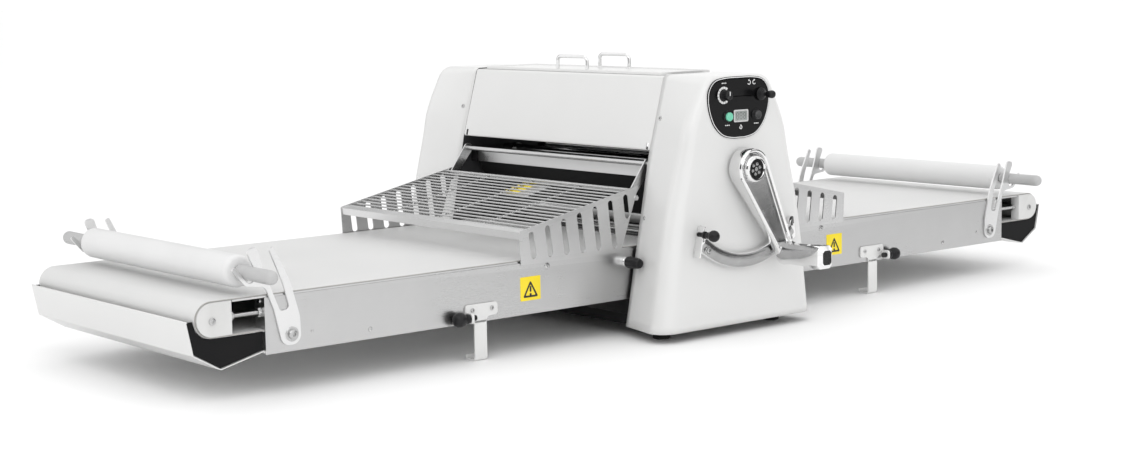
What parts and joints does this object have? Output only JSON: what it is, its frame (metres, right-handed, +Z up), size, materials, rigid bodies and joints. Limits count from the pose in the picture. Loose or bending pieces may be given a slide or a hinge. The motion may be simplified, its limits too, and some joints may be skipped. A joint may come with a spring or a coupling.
{
  "type": "dough sheeter",
  "caption": "Bench-top dough sheeter with belt tables, hinged grid guards, a roller gap lever, rolling pin forks and flour catch trays.",
  "frame": {"origin": "centre of the overall box at bench level, under the feet", "axes": "+X along the tables, -Y towards the operator with the lever and control panel, +Z up"},
  "size_m": [2.12, 0.94, 0.499],
  "materials": {
    "white_paint": "white powder coat, satin",
    "inox": "brushed stainless sheet",
    "inox_rod": "polished stainless rod",
    "chrome": "polished chrome",
    "zinc": "zinc-plated steel",
    "black_plastic": "black moulded plastic",
    "black_paint": "black paint, satin",
    "dark_steel": "dark grey paint",
    "belt_fabric": "coated white conveyor belting",
    "pin_white": "white food-grade plastic",
    "handle_grey": "light grey plastic",
    "block_white": "pale plastic",
    "rubber": "black rubber",
    "panel_black": "black control foil",
    "button_green": "green plastic",
    "button_dark": "dark plastic",
    "label_yellow": "yellow sticker",
    "display": "display window in a silver frame"
  },
  "bodies": {
    "machine": {"base_pan": "dark_steel", "button_rings": "black_plastic", "control_panel": "panel_black", "display": "display", "drive_chain": "zinc", "drive_motor": "dark_steel", "end_blocks": "block_white", "feet": "rubber", "fixing_screws": "zinc", "frame_plates": "white_paint", "guard_pivot_rods": "inox_rod", "hood_left_panel": "white_paint", "hood_right_panel": "white_paint", "left_belt": "belt_fabric", "left_catch_tray": "white_paint", "left_table_frame": "inox", "operator_casing": "white_paint", "pin_forks": "inox", "rear_casing": "white_paint", "right_belt": "belt_fabric", "right_catch_tray": "white_paint", "right_table_frame": "inox", "roller_bearings": "zinc", "scraper_bars": "inox", "table_legs": "white_paint", "tension_screws": "zinc", "thickness_sector": "chrome", "tray_end_plates": "black_paint", "warning_labels": "label_yellow"},
    "lid": {"top_lid": "inox", "lid_handles": "chrome"},
    "lever": {"lever_arm": "chrome", "lever_cap": "black_plastic", "lever_shaft": "zinc"},
    "carrier": {"roller_carrier": "dark_steel"},
    "upper_roller": {"upper_roller": "chrome"},
    "lower_roller": {"lower_roller": "chrome", "roller_sprocket": "zinc"},
    "motor_rotor": {"motor_sprocket": "zinc"},
    "stop_knob": {"stop_knob": "black_plastic"},
    "speed_knob": {"speed_knob": "black_plastic"},
    "joystick": {"joystick": "black_plastic"},
    "start_button": {"start_button": "button_green"},
    "stop_button": {"stop_button": "button_dark"},
    "left_drive_roller": {"left_drive_roller": "inox_rod"},
    "left_end_roller": {"left_end_roller": "inox_rod"},
    "left_pin": {"left_pin_handles": "handle_grey"},
    "left_pin_barrel": {"left_pin_barrel": "pin_white"},
    "left_guard": {"left_guard_frame": "inox", "left_guard_bars": "inox_rod"},
    "left_latch": {"left_latch_knob": "black_plastic"},
    "left_leg_knob": {"left_leg_knob": "black_plastic"},
    "right_drive_roller": {"right_drive_roller": "inox_rod"},
    "right_end_roller": {"right_end_roller": "inox_rod"},
    "right_pin": {"right_pin_handles": "handle_grey"},
    "right_pin_barrel": {"right_pin_barrel": "pin_white"},
    "right_guard": {"right_guard_frame": "inox", "right_guard_bars": "inox_rod"},
    "right_latch": {"right_latch_knob": "black_plastic"},
    "right_leg_knob": {"right_leg_knob": "black_plastic"}
  },
  "joints": [
    {"name": "lever_turn", "type": "hinge", "parent": "machine", "child": "lever", "pos_m": [0, 0.067, 0.302], "axis": [0, 1, 0], "range_deg": [-8, 52]},
    {"name": "roller_gap", "type": "slide", "parent": "machine", "child": "carrier", "axis": [0, 0, 1], "range_m": [-0.00467, 0.03033]},
    {"name": "upper_roller_spin", "type": "hinge", "parent": "carrier", "child": "upper_roller", "pos_m": [0, 0.067, 0.1982], "axis": [0, 1, 0], "continuous": true},
    {"name": "lower_roller_spin", "type": "hinge", "parent": "machine", "child": "lower_roller", "pos_m": [0, 0.067, 0.133], "axis": [0, 1, 0], "continuous": true},
    {"name": "motor_spin", "type": "hinge", "parent": "machine", "child": "motor_rotor", "pos_m": [-0.07, 0.367, 0.08], "axis": [0, 1, 0], "continuous": true},
    {"name": "left_drive_roller_spin", "type": "hinge", "parent": "machine", "child": "left_drive_roller", "pos_m": [-0.068, 0.067, 0.134], "axis": [0, 1, 0], "continuous": true},
    {"name": "left_end_roller_spin", "type": "hinge", "parent": "machine", "child": "left_end_roller", "pos_m": [-1.016, 0.067, 0.134], "axis": [0, 1, 0], "continuous": true},
    {"name": "left_guard_lift", "type": "hinge", "parent": "machine", "child": "left_guard", "pos_m": [-0.106, 0.067, 0.309], "axis": [0, 1, 0], "range_deg": [0, 116]},
    {"name": "left_pin_lift", "type": "slide", "parent": "machine", "child": "left_pin", "axis": [-0.604, 0, 0.797], "range_m": [0, 0.06]},
    {"name": "left_pin_spin", "type": "hinge", "parent": "left_pin", "child": "left_pin_barrel", "pos_m": [-0.95, 0.067, 0.2], "axis": [0, 1, 0], "continuous": true},
    {"name": "left_latch_pull", "type": "slide", "parent": "machine", "child": "left_latch", "axis": [0, -1, 0], "range_m": [0, 0.01], "stiffness_N_per_m": 400, "springref_m": -0.004},
    {"name": "left_leg_knob_pull", "type": "slide", "parent": "machine", "child": "left_leg_knob", "axis": [-1, 0, 0], "range_m": [0, 0.008], "stiffness_N_per_m": 400, "springref_m": -0.004},
    {"name": "right_drive_roller_spin", "type": "hinge", "parent": "machine", "child": "right_drive_roller", "pos_m": [0.068, 0.067, 0.134], "axis": [0, 1, 0], "continuous": true},
    {"name": "right_end_roller_spin", "type": "hinge", "parent": "machine", "child": "right_end_roller", "pos_m": [1.016, 0.067, 0.134], "axis": [0, 1, 0], "continuous": true},
    {"name": "right_guard_lift", "type": "hinge", "parent": "machine", "child": "right_guard", "pos_m": [0.106, 0.067, 0.309], "axis": [0, -1, 0], "range_deg": [0, 116]},
    {"name": "right_pin_lift", "type": "slide", "parent": "machine", "child": "right_pin", "axis": [0.604, 0, 0.797], "range_m": [0, 0.06]},
    {"name": "right_pin_spin", "type": "hinge", "parent": "right_pin", "child": "right_pin_barrel", "pos_m": [0.95, 0.067, 0.2], "axis": [0, 1, 0], "continuous": true},
    {"name": "right_latch_pull", "type": "slide", "parent": "machine", "child": "right_latch", "axis": [0, -1, 0], "range_m": [0, 0.01], "stiffness_N_per_m": 400, "springref_m": -0.004},
    {"name": "right_leg_knob_pull", "type": "slide", "parent": "machine", "child": "right_leg_knob", "axis": [1, 0, 0], "range_m": [0, 0.008], "stiffness_N_per_m": 400, "springref_m": -0.004},
    {"name": "lid_lift", "type": "slide", "parent": "machine", "child": "lid", "axis": [0, 0, 1], "range_m": [0, 0.08]},
    {"name": "stop_knob_turn", "type": "hinge", "parent": "machine", "child": "stop_knob", "pos_m": [-0.112, -0.381, 0.192], "axis": [0, -1, 0], "range_deg": [0, 360]},
    {"name": "speed_turn", "type": "hinge", "parent": "machine", "child": "speed_knob", "pos_m": [-0.043, -0.338, 0.4345], "axis": [0, 1, 0], "range_deg": [0, 270]},
    {"name": "joystick_tilt", "type": "hinge", "parent": "machine", "child": "joystick", "pos_m": [0.048, -0.338, 0.433], "axis": [0, 0, 1], "range_deg": [-15, 15], "stiffness_Nm_per_rad": 0.6},
    {"name": "start_press", "type": "slide", "parent": "machine", "child": "start_button", "axis": [0, 1, 0], "range_m": [0, 0.003], "stiffness_N_per_m": 400, "springref_m": -0.002},
    {"name": "stop_press", "type": "slide", "parent": "machine", "child": "stop_button", "axis": [0, 1, 0], "range_m": [0, 0.003], "stiffness_N_per_m": 400, "springref_m": -0.002}
  ],
  "couplings": [
    {"joint": "roller_gap", "follows": "lever_turn", "m_per_rad": 0.033423},
    {"joint": "upper_roller_spin", "follows": "lower_roller_spin", "ratio": -1},
    {"joint": "motor_spin", "follows": "lower_roller_spin", "ratio": 1.6667},
    {"joint": "left_drive_roller_spin", "follows": "lower_roller_spin", "ratio": 1.0345},
    {"joint": "left_end_roller_spin", "follows": "lower_roller_spin", "ratio": 1.0345},
    {"joint": "right_drive_roller_spin", "follows": "lower_roller_spin", "ratio": 1.0345},
    {"joint": "right_end_roller_spin", "follows": "lower_roller_spin", "ratio": 1.0345}
  ]
}
